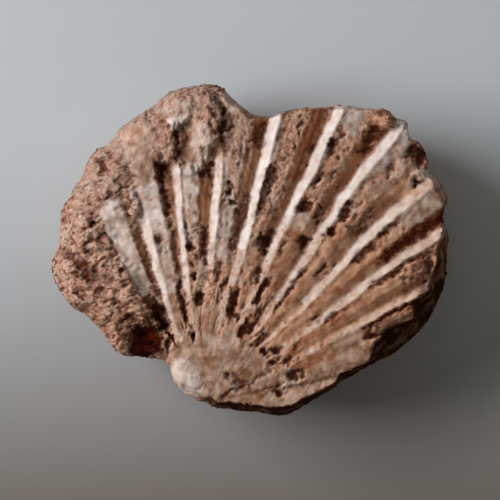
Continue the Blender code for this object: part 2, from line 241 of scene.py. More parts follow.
STEEP = [  # 1 where that band is a flat steep break and 0 where it is rounded, by direction
    (0, 1), (70, 0.9), (100, 0), (245, 0), (262, 0.9), (300, 1), (360, 1),
]
PAINTED_SHADE = [  # how dark that band is painted as shade, by direction
    (0, 0.8), (12, 0.4), (18, 0), (32, 0), (50, 0.1), (80, 0.2), (100, 0), (250, 0), (262, 1),
    (300, 1), (320, 1), (345, 1), (360, 0.8),
]
BRINK_WANDER, BRINK_SIZE, BRINK_KEPT = 0.35, 3.2, 0.6  # it breaks off unevenly, but not at the rim itself
PAINTED_SHADE_EDGE = (0.85, 1.05)  # the painted shade ends at the top of that band


def closest(points, line):
    """Distance from each point to a closed line."""
    start = np.array(line)
    along = np.roll(start, -1, axis=0) - start
    best = np.full(len(points), np.inf)
    for a, v in zip(start, along):
        share = np.clip(((points - a) @ v) / (v @ v), 0, 1)
        best = np.minimum(best, np.hypot(*(points - a - share[:, None] * v).T))
    return best


def rounded(share):
    """Rises from 0 at the rim to 1 at the inner end of a shoulder, along a quarter circle."""
    return np.sqrt(1 - (1 - np.clip(share, 0, 1)) ** 2)


def rim_height(points):
    """Height of the line between the valves."""
    rib, behind, ahead, reach = fan(points)
    wave = RIM_WAVE * (rib_rise(rib, behind, ahead, reach) - 0.5)
    return RIM_Z + wave * np.interp(reach, RIM_WAVE_AT, (0, 1))


def shoulder_share(points, edge):
    """How far up the shoulder a point is, by its distance from the edge: 0 at the rim, 1 at its top."""
    return edge / np.interp(bearing(points, MIDDLE), *zip(*SHOULDER))


def meet_rim(points, crown):
    """The upper side's height once it falls to the rim, and how much painted shade is on it."""
    toward = bearing(points, MIDDLE)
    edge = closest(points, OUTLINE)
    edge += BRINK_WANDER * cloud(points, BRINK_SIZE, seed=97, octaves=2) * smooth(edge, 0, BRINK_KEPT)
    share = shoulder_share(points, edge)
    steep = np.interp(toward, *zip(*STEEP))
    rim = rim_height(points)
    height = rim + (crown - rim) * ((1 - steep) * rounded(share) + steep * np.clip(share, 0, 1))
    return height, np.interp(toward, *zip(*PAINTED_SHADE)) * (1 - smooth(share, *PAINTED_SHADE_EDGE))


# The rock: brown sandy limestone left on the shell. It hides the ribs on the left, stands in a lump
# at the top and one at the left, and fills most of the rib tops. It is weathered to coarse grains, with
# slanted chinks where it is loose.
ROCK = [  # middle x, y, half length, half width, turn in degrees, thickness
    (-20, 9.5, 8.5, 6, 55, 0.9),
    (-14, 16, 5.5, 5, 40, 0.8),
    (-6, 18.6, 6.2, 3.4, 97, 1.6),
    (-23.2, 1.5, 7.5, 5, 90, 1),
    (-21.8, -5, 6.8, 6, 0, 2),
    (-17.5, -6.6, 4.2, 2.4, -30, 1.6),
    (-9.2, 20.2, 4, 3, 10, 1.6),
    (-16.3, 6.6, 3.4, 1.3, 108, 0.3),
    (-11, 15.6, 4.4, 2, 84, 1.3),
    (19, 17.9, 1.9, 1.3, 0, 1.2),
]
ROCK_BED, ROCK_EDGE, ROCK_ROUND = 1.3, 2.5, 0.5  # mm over the grooves, and how sharply it ends
BURIED_RIBS = 3  # the first ribs are under it all along
OPEN_PLACE, OPEN_REACH = (-8.8, -17.6), (4.0, 5.0)  # but for this place at the beak
LUMP, LUMP_SIZE = 0.40, 3.0  # height and size in mm, as below
CRUMB, CRUMB_SIZE = 0.26, 1.1
LUMPS_ON_SHELL = 0.15  # share of those lumps that is left where no loose rock lies
CHINK, CHINK_SIZE, CHINK_TURN, CHINK_LONG = 0.28, 0.8, 28, 2.6  # with their slant, and length to width
FIRM, FIRM_AT = 0.6, (5, 14)  # the rock is firmer, with fewer chinks, towards the top
DIMPLE, DIMPLE_SIZE = 0.30, 1.5  # hollows in the firm rock on the ribs
LEDGE, LEDGE_SIZE = 0.10, 1.3
STREAK_ACROSS, STREAK_ALONG = 5, 0.45  # both are drawn out along the ribs
RAGGED, RAGGED_SIZE = 0.42, 1.6  # how far the edges of all these wander
THIN_RAGGED, MOST_RAGGED = 1.7, 1.2  # times this for each mm of an oval's half width, and at most this


def blob(points, x, y, half_length, half_width, turn, wander=0):
    """1 in the middle of an oval and 0 outside it, with a smooth edge. Thin ovals wander less."""
    a = math.radians(turn)
    dx, dy = (points + wander * min(THIN_RAGGED * half_width, MOST_RAGGED) - np.array((x, y))).T
    u = (dx * math.cos(a) + dy * math.sin(a)) / half_length
    v = (dy * math.cos(a) - dx * math.sin(a)) / half_width
    return 1 - smooth(np.hypot(u, v), 0, 1)


def rock_cover(points):
    """Share of the ribs that the rock hides, and the rock's own thickness."""
    hidden = np.zeros(len(points))
    thickness = np.zeros(len(points))
    for x, y, half_length, half_width, turn, thick in ROCK:
        share = blob(points, x, y, half_length, half_width, turn)
        hidden = np.maximum(hidden, np.clip(share * ROCK_EDGE, 0, 1))
        thickness = np.maximum(thickness, share**ROCK_ROUND * thick)
    return hidden, thickness


def slanted_chinks(points):
    """1 in a chink of the loose rock and 0 beside it."""
    slant = math.radians(CHINK_TURN)
    along = points[:, 0] * math.cos(slant) + points[:, 1] * math.sin(slant)
    athwart = points[:, 1] * math.cos(slant) - points[:, 0] * math.sin(slant)
    drawn_out = np.column_stack([along / CHINK_LONG, athwart])
    return smooth(cloud(drawn_out, CHINK_SIZE, seed=71, octaves=2), 0.3, 0.9)


# The breaks: hollows and cracks in the rock, lips of shell that stand up where a rib has snapped, and panels
# of the ribs that have flaked away. Ground water has left dirt in them, and the deeper ones are also painted
# dark as shade.
PITS = [  # hollows and cracks, as ovals like the rock's, with depth and how dark they are: dirt, and painted shade in the deep hollow and at the beak
    (-14.3, -12.3, 4.8, 3.7, -14, 2.6, 1), (-14.8, -14.3, 3.6, 1.7, -8, 1, 1),
    (-12.7, -8.9, 4, 1.4, 106, 1.6, 0.9), (-3.8, 19.6, 1.5, 0.7, 100, 0.6, 0.85),
    (-3.6, 17.4, 1.7, 0.8, 85, 0.6, 0.85), (-3.7, 15.4, 1.5, 0.6, 100, 0.6, 0.8),
    (-4.7, 21, 1.2, 0.5, 120, 0.4, 0.6), (-6, 21.9, 0.9, 0.5, 30, 0.4, 0.7),
    (-5, 18.8, 1, 0.5, 60, 0.4, 0.6), (-14.6, 19, 1.1, 0.6, 60, 0.5, 0.7),
    (-20.5, 11.8, 2.2, 1.2, 105, 0.7, 0.85), (-12.3, 10.8, 1.7, 1.1, 100, 0.6, 0.9),
    (-21.3, 9.2, 1.9, 1.1, 100, 0.3, 0.4), (-19.8, 13, 1.6, 1, 60, 0.3, 0.4),
    (-23, -2.8, 3.9, 2.1, -42, 0.9, 0.85), (-23.9, -5.9, 1.9, 1.2, -40, 0.5, 0.8),
    (-25.4, -0.4, 1.6, 1.2, -40, 0.5, 0.7), (11.2, 2.6, 1.7, 1.1, 15, 0.7, 1),
    (-2.2, 6.5, 0.8, 0.5, 0, 0.6, 0.8), (7.5, 6.2, 1.3, 0.7, 40, 0.8, 0.9),
    (9.6, 9.9, 1, 0.6, 60, 0.7, 0.8), (11.6, 15, 0.9, 0.6, 60, 0.6, 0.7),
    (2.7, 1.8, 1.9, 0.9, 60, 0.6, 0.75), (0.8, -3.2, 1.6, 0.7, 65, 0.6, 0.7),
    (-8, 0.6, 0.9, 0.6, 90, 0.6, 0.8), (-8.2, -1.8, 0.7, 0.5, 0, 0.5, 0.8),
    (-7.7, -3.6, 0.7, 0.6, 0, 0.5, 0.8), (-2.2, -7.6, 2.6, 0.6, 70, 0.7, 0.8),
    (2.1, -14.1, 0.8, 0.6, 60, 0.5, 0.9), (3.5, -13.8, 1, 0.6, 40, 0.5, 0.9),
    (3.3, -15.7, 0.8, 0.5, 30, 0.4, 0.9), (5.2, -15.6, 1, 0.5, 15, 0.4, 0.9),
    (6.4, -17.3, 1.4, 0.7, 15, 0.6, 0.9), (4.1, -18.7, 0.8, 0.5, 10, 0.5, 0.8),
    (4.1, -19.7, 1.2, 0.7, 10, 0.6, 0.9), (-3, -17.6, 1, 0.6, 100, 0.3, 0.8),
    (-1.2, -18.4, 2.4, 0.5, 25, 0.2, 0.6), (-1.4, -18.2, 2.6, 1.3, -20, 0.1, 0.5),
    (1, -17.9, 3.4, 0.4, 31, 0.15, 0.6), (3, -19.1, 5, 0.4, 19, 0.15, 0.6),
    (-3.3, -20.4, 1.8, 0.45, 30, 0.15, 0.6), (-1.6, -21.5, 3.4, 0.8, 4, 0.1, 0.5),
    (-5.4, -19.2, 2.4, 1.2, 100, 0.15, 0.3), (-2.2, -19.6, 4.2, 0.4, 24, 0.3, 0.8),
    (-7.9, -12, 0.7, 0.6, 0, 0.6, 0.9), (23.6, 13.2, 2.1, 1.6, -30, 0.6, 0.9),
    (19.6, 11.4, 1.7, 1, 50, 0.4, 0.7), (23.4, 9.4, 0.8, 0.6, 0, 0.8, 1),
    (16.9, 16.4, 2.3, 0.7, 55, 0.4, 0.7), (-21.8, 3.6, 0.9, 0.7, 90, 0.9, 0.9),
    (-11.4, -13.4, 2.2, 0.4, 80, 0.7, 0.8), (6.5, -19, 9.5, 0.6, 19, 0.1, 0.35),
    (-7.4, -19.1, 1.6, 0.35, 20, 0.1, 0.4), (24.9, -2.2, 2.6, 1, 80, 0.6, 0.7),
    (24.2, -5.4, 1.8, 1, 60, 0.5, 0.7), (22.8, -1.4, 1.2, 0.8, 30, 0.4, 0.6),
    (24, -2.6, 3.4, 1.9, 65, 0.1, 0.45),
]
LIPS = [  # edges of shell that stand up, as ovals too, with height and how cream they are
    (-9.9, 17.9, 2.3, 1, 22, 0.5, 1), (-9.8, 19.4, 3.4, 2.2, 15, 0.1, 0.35),
    (-8.7, 11.4, 2.4, 0.9, 14, 0.5, 1), (22.6, 9.7, 1.6, 0.5, 35, 0.2, 0.6),
    (24.5, 10.6, 2.6, 1, 2, 0.5, 1), (-6.7, 15.2, 4.2, 2.4, 85, 0.4, 0.45),
    (-2.6, 20.4, 2.8, 0.9, -50, 0.4, 0.4), (21.2, 16.3, 3.2, 1.9, 50, 0.4, 0.95),
    (-11.8, -13.8, 1.4, 0.8, 80, 0.5, 0.2), (-8.8, -18.1, 4.8, 2.9, 112, 0.1, 0.7),
    (5.4, -18.4, 2.6, 0.45, 17, 0.15, 0.6), (0.2, -8, 1, 0.8, 60, 0.2, 0.5),
]
SUNK = [  # panels lowered into the ribs: left and right edge in ribs, near and far end in mm, depth, and how dark their dirt and painted shade are
    (3.62, 3.88, 17.5, 26, 0.3, 0.55), (4.17, 4.36, 22.6, 24.8, 0.4, 0.9),
    (4.58, 4.78, 11, 17.5, 0.4, 0.9), (4.66, 4.84, 18.5, 25.5, 0.3, 0.6),
    (4.62, 4.76, 26.5, 33.5, 0.4, 0.8), (4.50, 4.88, 32.4, 34.2, 0.3, 0.85),
    (4.72, 4.92, 9.4, 10.6, 0.4, 1), (5.02, 5.54, 33.4, 38.8, 0.5, 0.15),
    (5.05, 5.12, 33.4, 38.5, 0.3, 1), (5.08, 5.40, 38.4, 38.9, 0.3, 0.8),
    (5.10, 5.22, 23, 26, 0.3, 0.56), (5.15, 5.35, 21.3, 23, 0.4, 0.9),
    (5.30, 5.48, 16.8, 18, 0.4, 0.9), (5.40, 5.95, 13.6, 15.3, 0.3, 0.9),
    (5.62, 5.86, 19.8, 25, 0.3, 0.65), (5.58, 5.88, 31.2, 33.2, 0.5, 0.9),
    (6.25, 6.42, 28.2, 31, 0.5, 1), (6.66, 6.90, 22, 30, 0.3, 0.55),
    (6.70, 6.90, 36, 39.5, 0.3, 0.6), (7.13, 7.36, 27.5, 34.5, 0.3, 0.85),
    (7.45, 7.88, 22.3, 25, 0.4, 0.9), (7.15, 7.50, 12.8, 16.5, 0.3, 0.79),
    (7.45, 7.85, 11.8, 13.6, 0.3, 0.85), (8.12, 8.30, 38, 41.5, 0.3, 0.9),
    (8.20, 8.36, 34, 36.2, 0.3, 0.79), (8.13, 8.42, 29.4, 31.2, 0.3, 0.8),
    (8.58, 8.82, 29.2, 32, 0.3, 0.7), (8.55, 8.86, 24.8, 27, 0.3, 0.96),
    (8.20, 8.32, 23.2, 25.4, 0.2, 0.79), (8.13, 8.42, 15, 19.6, 0.4, 0.96),
    (8.50, 8.80, 13.8, 15, 0.2, 0.79), (8.08, 8.85, 10.4, 13.2, 0.4, 0.9),
    (8.66, 8.88, 41.5, 45.5, 0.4, 0.6), (9.12, 9.30, 30.4, 34, 0.3, 0.9),
    (9.12, 9.28, 15.8, 24, 0.3, 0.9), (9.38, 9.66, 44, 46.5, 0.4, 0.9),
    (9.40, 9.95, 10.8, 12.6, 0.3, 0.79), (9.62, 9.80, 30.5, 34.5, 0.2, 0.5),
    (9.58, 9.72, 23, 25.2, 0.3, 0.9), (10.12, 10.40, 28, 32, 0.3, 0.85),
    (10.14, 10.26, 33, 36.2, 0.3, 0.85), (10.62, 10.86, 31.5, 43, 0.4, 0.8),
    (10.70, 10.86, 18, 19.6, 0.3, 0.96), (10.30, 10.80, 10.1, 11.5, 0.2, 0.85),
    (11.14, 11.30, 19.8, 21.6, 0.3, 0.9), (11.12, 11.30, 28, 34, 0.3, 0.8),
    (11.25, 11.60, 14, 15.5, 0.2, 0.68), (11.20, 11.50, 10, 11, 0.2, 0.79),
    (11.70, 12.10, 12, 13, 0.2, 0.79), (12.20, 12.95, 24.1, 31.8, 0.5, 1),
    (12.31, 12.85, 25, 30.8, -0.2, 0.25), (12.60, 13.50, 12, 13.2, 0.2, 0.79),
    (13.00, 13.45, 9.3, 10.2, 0.2, 0.68),
]
FLAT = [(12.10, 14.00, 12, 24, 0.7)]  # panels where the ribs are worn flat, and how much
FLAT_RISE = 0.7  # share of a rib's height there
PIT_ROUND = 0.7  # below 1, so that a hollow has steep sides and a flat floor
PANEL_SOFT, PANEL_END = 0.05, 0.5  # softness of a panel's sides in ribs, and of its ends in mm
FRAY, FRAY_SIZE = 0.06, 1.3  # how far its sides wander in ribs
END_FRAY, END_FRAY_SIZE = 0.8, 1.8  # and its ends in mm
PAINTED_SHADOW_START, PAINTED_SHADOW_END = (0.1, 0.25), (0.4, 0.7)  # the dark line painted behind a cream face as its shadow, in mm past its brink
PAINTED_SHADOW_SIZE, PAINTED_SHADOW_AT, PAINTED_SHADOW = 1.6, (13, 26), (0.3, 1)  # the painted shadow is broken up, and fainter near the beak


def between(value, low, high, soft):
    """1 from low to high and 0 outside, with soft ends."""
    return smooth(value, low - soft, low + soft) * (1 - smooth(value, high - soft, high + soft))


def panel(place, reach, left, right, near, far):
    """1 on a strip of a rib and 0 off it: left and right in ribs, near and far in mm from the beak."""
    return between(place, left, right, PANEL_SOFT) * between(reach, near, far, PANEL_END)


def strips(table, place, reach):
    """The strongest of these panels at each point."""
    return np.max([strength * panel(place, reach, *spot) for *spot, strength in table], axis=0)


def lips(points, wander):
    """Height of the lips at each point, and how cream they are."""
    rise, pale = np.zeros((2, len(points)))
    for *spot, height, cream in LIPS:
        lip = blob(points, *spot, wander) ** PIT_ROUND
        rise += lip * height
        pale = np.maximum(pale, cream * smooth(lip, 0.2, 0.6))
    return rise, pale


# The finishes on the shell: cream crests, grey where the rock has come away, tan at the worn beak, and
# grooves stained ochre, amber and iron red by ground water. They are placed as the sunk panels are,
# and the last number is how strong each is.
WORN = [  # stretches where a crest is worn tan: crest, near and far end in mm, how much
    (4, 8, 15.5, 0.4), (5, 10, 16, 0.55), (5, 16, 23, 0.2), (5, 31, 35, 0.4), (6, 12, 23, 0.45),
    (6, 30, 35, 0.3), (7, 9, 22.5, 0.65), (8, 8, 21, 0.7), (8, 21, 28, 0.3), (9, 8, 17.5, 0.75),
    (9, 17.5, 21, 0.55), (9, 22.5, 27.5, 0.5), (9, 28, 33, 0.15), (10, 9, 19, 0.75), (10, 20, 26, 0.4),
    (10, 39.5, 46, 0.5), (11, 9, 17, 0.75), (11, 17, 24, 0.35), (12, 18, 24, 0.55), (12, 24, 36, 0.4),
]
BARE = [  # grey shell
    (3.05, 3.56, 25, 31.5, 1), (3.87, 4.56, 26, 31.6, 1),
    (3.95, 4.50, 31.6, 39.6, 0.15), (4.12, 4.64, 15.5, 26, 0.6),
    (5.06, 5.55, 27.5, 32.8, 1), (5.15, 5.50, 22, 27.5, 0.5),
    (5.50, 5.90, 17, 19.6, 0.6), (6.12, 6.60, 20, 28.5, 0.8),
    (6.15, 6.60, 27.6, 40, 0.15), (6.02, 6.28, 29.5, 33.5, 0.9),
    (7.10, 7.32, 20, 24.3, 1), (8.10, 8.55, 27.3, 29.6, 0.7),
    (8.10, 8.50, 42.3, 46, 1), (9.10, 9.34, 40.5, 48, 0.95),
    (9.38, 9.66, 39.5, 44, 0.3), (9.10, 9.60, 36, 40, 0.2),
    (9.60, 9.95, 38.3, 42.5, 0.45), (10.10, 10.58, 37, 45, 0.35),
    (11.40, 12.20, 15, 17.4, 0.8), (11.50, 13.00, 11, 12, 0.8),
    (6.40, 8.20, 7.5, 10.5, 0.3), (3.02, 3.60, 17.5, 25.2, 0.8),
]
PLAIN = [  # worn shell with no rock on it
    (3.05, 3.60, 17.5, 25.2, 1), (4.02, 4.50, 31.6, 39.6, 0.7),
    (5.15, 5.50, 34, 39, 0.9), (3.90, 4.45, 9, 16, 0.8),
    (4.90, 7.00, 9, 13.6, 0.7), (10.10, 10.58, 36.5, 45, 1),
    (12.10, 13.95, 9, 23.7, 1),
]
OCHRE = [  # orange stain on the ribs
    (7.20, 7.88, 14, 24, 0.4), (8.15, 8.90, 13, 29, 0.4),
    (9.20, 9.88, 13, 31, 0.7), (9.60, 9.95, 38.3, 42.5, 0.8),
    (10.15, 10.88, 11.5, 33, 0.9), (11.15, 11.95, 12, 31, 0.85),
    (12.10, 12.90, 12.5, 18, 0.6),
]
AMBER = [  # yellow brown stain in the grooves
    (3.62, 3.84, 18, 26, 0.7), (4.66, 4.84, 18, 26, 0.6),
    (5.58, 5.88, 25.2, 31.2, 1), (6.64, 6.90, 29, 36.5, 0.6),
    (7.66, 7.86, 26, 33, 0.6), (8.62, 8.88, 36, 41.5, 0.9),
    (5.17, 5.52, 33.8, 39.2, 0.3), (9.56, 9.86, 34, 39, 0.7),
    (14.02, 14.95, 1.8, 6.5, 0.5),
]
IRON = [  # red brown stain in them
    (4.74, 4.90, 26.5, 34, 0.6), (6.66, 6.92, 36, 41, 0.8),
    (7.60, 7.86, 32.8, 44.5, 0.8), (8.62, 8.90, 41, 47, 0.8),
    (8.60, 8.90, 32, 36.5, 0.6), (10.58, 10.84, 30, 44, 0.8),
    (12.20, 12.90, 12, 17, 0.7), (11.35, 11.75, 12, 16, 0.7),
    (11.18, 11.60, 18.5, 23.5, 0.5), (8.15, 8.85, 18, 27, 0.35),
    (11.62, 11.86, 25, 35, 0.4), (8.06, 8.82, 10.4, 13.4, 0.7),
]
CREAM_START, CREAM_END = (-0.72, -0.26), (-0.28, 0.15)  # mm across a face, and mm past its brink
BRINK_AT, BRINK = (30, 38), (0.68, 0.95)  # mm across at which it has its brink, wider near the rim
CREAM_WANDER, CREAM_WANDER_SIZE = 0.2, 3.0
WORN_END = 0.6  # mm, how softly a worn stretch ends
CHIP_SIZE, CHIPPED_AT, CHIPPED = 1.5, (10, 24, 34), (0.8, 0.4, 0.15)  # more chips near the beak
RIM_CREAM, RIM_CREAM_END = 0.4, 0.3  # the cream fades at the rim
PATCH_SIZE, PATCH_LEAST = 1.5, 0.45  # the bare grey is patchy
UMBO_REACH = (8.5, 11.0)  # the worn beak ends here, in mm
LINE_SIZE, LINE_ACROSS, LINE_ALONG, LINE_FROM = 1.5, 4, 0.15, (-6.5, -4)  # fine dark lines on it
STREAK_BARE, STREAK_BARE_SIZE = 0.4, 1.8  # grey streaks where the shell shows through the rock


def layout(points):
    """Where each point lies among the ribs and the rock, with the wander that frays every edge."""
    at = SimpleNamespace()
    at.rib, at.behind, at.ahead, at.reach = fan(points)
    across, at.whole = face(at.rib, at.behind, at.ahead, at.reach)[:2]
    at.across = across + CREAM_WANDER * cloud(points, CREAM_WANDER_SIZE, seed=47, octaves=2)
    at.past_brink = at.across - np.interp(at.reach, BRINK_AT, BRINK)
    place = at.rib + at.behind / (at.behind + at.ahead)
    at.streaked = np.column_stack([place * STREAK_ACROSS, at.reach * STREAK_ALONG])
    at.place = place + FRAY * cloud(points, FRAY_SIZE, seed=41, octaves=3)
    at.rough_reach = at.reach + END_FRAY * cloud(points, END_FRAY_SIZE, seed=43, octaves=3)
    at.wander = RAGGED * np.column_stack([cloud(points, RAGGED_SIZE, seed, octaves=3) for seed in (61, 67)])
    at.hidden, at.thickness = rock_cover(points + at.wander)
    buried = smooth(np.hypot(*(points - np.array(OPEN_PLACE)).T), *OPEN_REACH)
    at.hidden = np.maximum(at.hidden, (at.rib < BURIED_RIBS) * buried)
    at.lip_rise, at.lip_cream = lips(points, at.wander)
    return at


def cream_faces(points, at):
    """How cream the crests are: less where they are worn, chipped, hidden or at the rim."""
    cream = smooth(at.across, *CREAM_START) * (1 - smooth(at.past_brink, *CREAM_END))
    cream *= at.whole * (1 - at.hidden)
    crest = np.where(at.behind < at.ahead, at.rib, at.rib + 1)
    for which, near, far, much in WORN:
        cream *= 1 - much * (crest == which) * between(at.rough_reach, near, far, WORN_END)
    chips = smooth(cloud(points, CHIP_SIZE, seed=53, octaves=3), 0.3, 1.0)
    cream *= 1 - chips * np.interp(at.reach, CHIPPED_AT, CHIPPED)
    inward = shoulder_share(points, closest(points, OUTLINE))
    return cream * (RIM_CREAM + (1 - RIM_CREAM) * smooth(inward, 0, RIM_CREAM_END))


def coats(points, at):
    """How much of each finish shows, what neither rock nor cream covers, and dark lines at the beak."""
    cream = np.maximum(cream_faces(points, at), at.lip_cream)
    uncovered = (1 - at.hidden) * (1 - cream)
    spots = [strips(table, at.place, at.rough_reach) for table in (BARE, PLAIN, OCHRE, AMBER, IRON)]
    bare, shell, ochre = [spot * (1 - cream) for spot in spots[:3]]
    amber, iron = [spot * uncovered for spot in spots[3:]]
    patches = smooth(cloud(points, PATCH_SIZE, seed=37, octaves=3), -0.8, 0.2)
    bare *= PATCH_LEAST + (1 - PATCH_LEAST) * patches
    umbo = np.maximum(1 - smooth(at.rough_reach, *UMBO_REACH), at.rib == EAR) * uncovered
    drawn_out = np.column_stack([at.place * LINE_ACROSS, at.reach * LINE_ALONG])
    lines = smooth(cloud(drawn_out, LINE_SIZE, seed=111, octaves=2), 0.1, 0.8)
    lines *= umbo * smooth(points[:, 0], *LINE_FROM)
    shell = np.maximum(shell, umbo)
    rock = np.clip(1 - cream - bare - amber - iron - shell - ochre, 0, 1)
    streaks = smooth(cloud(at.streaked, STREAK_BARE_SIZE, seed=57, octaves=3), 0.25, 1.1)
    bare = np.maximum(bare, STREAK_BARE * streaks * uncovered * rock)
    loose = rock * at.hidden * (1 - FIRM * smooth(points[:, 1], *FIRM_AT))
    shows = {"rock": rock, "bare": bare, "amber": amber, "iron": iron, "ochre": ochre, "cream": cream}
    return {**shows, "loose": loose}, uncovered, lines


# The body in one closed surface. The upper side is a grid of squares bent to the outline, fine enough
# for single grains. The underside is coarser: a rounded, faintly ribbed band and then the worn flat
# that the stone rests on. Both meet at the rim.
MM = 0.001  # Blender's lengths are in metres
HALF = 138  # rings from the middle to the rim
SHOULDER_RINGS = 30  # of them in the band that falls to the rim
LOWER_HALF = HALF // 2
LOWER_FLAT_RINGS = 18  # of those on the flat
BASE_INSET, RIM_INSET = 10.5, 0.05  # width of the band, and how far it stays inside the rim
BASE_FLAT = 0.995  # share of that width at which the flat starts
LOWER_LEAST = 0.05  # mm, so that only the flat touches
LOWER_RIBS, LOWER_RIB = 30, 0.5  # how many faint ribs, and how deep
LOWER_SWELL = 0.35  # share of the band's width at which it is fullest
LOWER_LUMP, LOWER_LUMP_SIZE = 0.3, 3.0
LEDGE_AT, LEDGE_SHARE, LEDGE_LEAST = (5, 14), (0.3, 1), 0.4  # ledges are lower at the beak and on bare shell
# How dark the chinks, dimples and beak lines are stained, and how dark the painted shadow behind each crest
# is.
CHINK_DIRT, DIMPLE_DIRT, PAINTED_SHADOW_DARK, LINE_DIRT = 0.5, 0.5, 0.45, 0.3


def relief(points, at, shows, uncovered, lines):
    """Height of the upper side with its ribs, rock and breaks, and the dirt and painted shade in them."""
    rock, loose = shows["rock"], shows["loose"]
    rise = rib_rise(at.rib, at.behind, at.ahead, at.reach)
    rise += (FLAT_RISE - rise) * strips(FLAT, at.place, at.reach)
    crown = dome(points) + at.lip_rise + ROCK_BED * at.hidden + at.thickness
    crown += rise * np.interp(at.reach, RIB_HEIGHT_AT, RIB_HEIGHT) * (1 - at.hidden)
    lumps = LUMP * cloud(points, LUMP_SIZE, seed=3) + CRUMB * cloud(points, CRUMB_SIZE, seed=8)
    crown += lumps * (LUMPS_ON_SHELL + (1 - LUMPS_ON_SHELL) * loose)
    ledges = cloud(at.streaked, LEDGE_SIZE, seed=59, octaves=3) * np.interp(at.reach, LEDGE_AT, LEDGE_SHARE)
    crown += LEDGE * ledges * uncovered * np.maximum(rock, LEDGE_LEAST)
    chinks = slanted_chinks(points) * loose
    dimples = smooth(cloud(at.streaked, DIMPLE_SIZE, seed=91, octaves=2), 0.5, 1.2) * (rock - loose)
    crown -= CHINK * chinks + DIMPLE * dimples
    # A thin dark line painted just past each whole crest's brink stands for the shadow that crest casts.
    painted_shadow = smooth(at.past_brink, *PAINTED_SHADOW_START) * (1 - smooth(at.past_brink, *PAINTED_SHADOW_END))
    painted_shadow *= smooth(cloud(at.streaked, PAINTED_SHADOW_SIZE, seed=83, octaves=2), -0.4, 0.5)
    painted_shadow *= at.whole * (1 - at.hidden) * np.interp(at.reach, PAINTED_SHADOW_AT, PAINTED_SHADOW)
    dirt_and_painted_shade = [CHINK_DIRT * chinks, DIMPLE_DIRT * dimples, PAINTED_SHADOW_DARK * painted_shadow, LINE_DIRT * lines]
    dirt_and_painted_shade = np.max(dirt_and_painted_shade, axis=0)
    # Pits and lowered panels are darkened with dirt and, in the deeper ones, with painted shade.
    for *spot, depth, dark in PITS:
        hole = blob(points, *spot, at.wander) ** PIT_ROUND
        crown -= hole * depth
        dirt_and_painted_shade = np.maximum(dirt_and_painted_shade, dark * smooth(hole, 0.25, 0.75))
    for *spot, depth, dark in SUNK:
        hole = panel(at.place, at.rough_reach, *spot)
        crown -= hole * depth
        dirt_and_painted_shade += (dark - dirt_and_painted_shade) * hole
    return crown, dirt_and_painted_shade


def top_surface(points):
    """Height of the upper side, and how much of each finish shows there."""
    at = layout(points)
    shows, uncovered, lines = coats(points, at)
    crown, dirt_and_painted_shade = relief(points, at, shows, uncovered, lines)
    height, painted_shade = meet_rim(points, crown)
    return height, {**shows, "dirt_and_painted_shade": dirt_and_painted_shade, "painted_shade": painted_shade}


def base_height(points):
    """Height of the underside."""
    inward = closest(points, OUTLINE) / BASE_INSET
    band = rim_height(points) * (1 - rounded(inward))
    swell = np.clip(1 - np.abs(inward - LOWER_SWELL) / LOWER_SWELL, 0, 1)
    ridge = 0.5 - 0.5 * np.cos(np.radians(bearing(points, MIDDLE)) * LOWER_RIBS)
    band -= swell * (ridge * LOWER_RIB + LOWER_LUMP * cloud(points, LOWER_LUMP_SIZE, seed=5))
    return np.where(inward >= BASE_FLAT, 0, np.maximum(band, LOWER_LEAST))


def square_disc(half):
    """A grid of squares bent to a disc: ring and angle of each point, the faces, and the rim in order."""
    span = np.arange(-half, half + 1)
    a, b = [grid.ravel() for grid in np.meshgrid(span, span)]
    ring = np.maximum(np.abs(a), np.abs(b))
    along = np.where((a == ring) & (b < ring), b + ring, 7 * ring + a)
    along = np.where((b == ring) & (a > -ring), 3 * ring - a, along)
    along = np.where((a == -ring) & (b > -ring), 5 * ring - b, along)
    angle = math.pi / 4 * (along / np.maximum(ring, 1) - 1)
    rows = np.arange((2 * half + 1) ** 2).reshape(2 * half + 1, -1)
    faces = np.stack([rows[:-1, :-1], rows[:-1, 1:], rows[1:, 1:], rows[1:, :-1]], axis=-1).reshape(-1, 4)
    rim = np.flatnonzero(ring == half)
    return ring, angle, faces, rim[np.argsort(along[rim])]


def ring_places(ring, angle, flat_rings, band, inset=0):
    """Places in the plan: evenly over the flat rings, then closing in on the outline across the band."""
    edge = outline_reach(angle)
    even = (edge - band) * ring / flat_rings
    lean = np.clip((ring - flat_rings) / (ring.max() - flat_rings), 0, 1) * math.pi / 2
    reach = np.where(ring <= flat_rings, even, edge - inset - band * (1 - np.sin(lean)))
    return np.array(MIDDLE) + np.column_stack([np.cos(angle), np.sin(angle)]) * reach[:, None]


def vertex_normals(points, faces):
    """Unit normal at each point, from the quads and triangles around it."""
    normals = np.zeros((len(points), 3))
    for corners in faces:
        p = points[corners]
        if corners.shape[1] == 4:
            n = np.cross(p[:, 2] - p[:, 0], p[:, 3] - p[:, 1])
        else:
            n = np.cross(p[:, 1] - p[:, 0], p[:, 2] - p[:, 0])
        for k in range(corners.shape[1]):
            np.add.at(normals, corners[:, k], n)
    return normals / np.linalg.norm(normals, axis=1, keepdims=True)


top_ring, top_angle, top_faces, rim = square_disc(HALF)
shoulder = np.interp(np.degrees(top_angle) % 360, *zip(*SHOULDER))
top = ring_places(top_ring, top_angle, HALF - SHOULDER_RINGS, shoulder)
top_height, shows = top_surface(top)
top_height[rim] = rim_height(top[rim])

low_ring, low_angle, low_faces, low_rim = square_disc(LOWER_HALF)
low = ring_places(low_ring, low_angle, LOWER_FLAT_RINGS, BASE_INSET, RIM_INSET)
low_height = base_height(low)

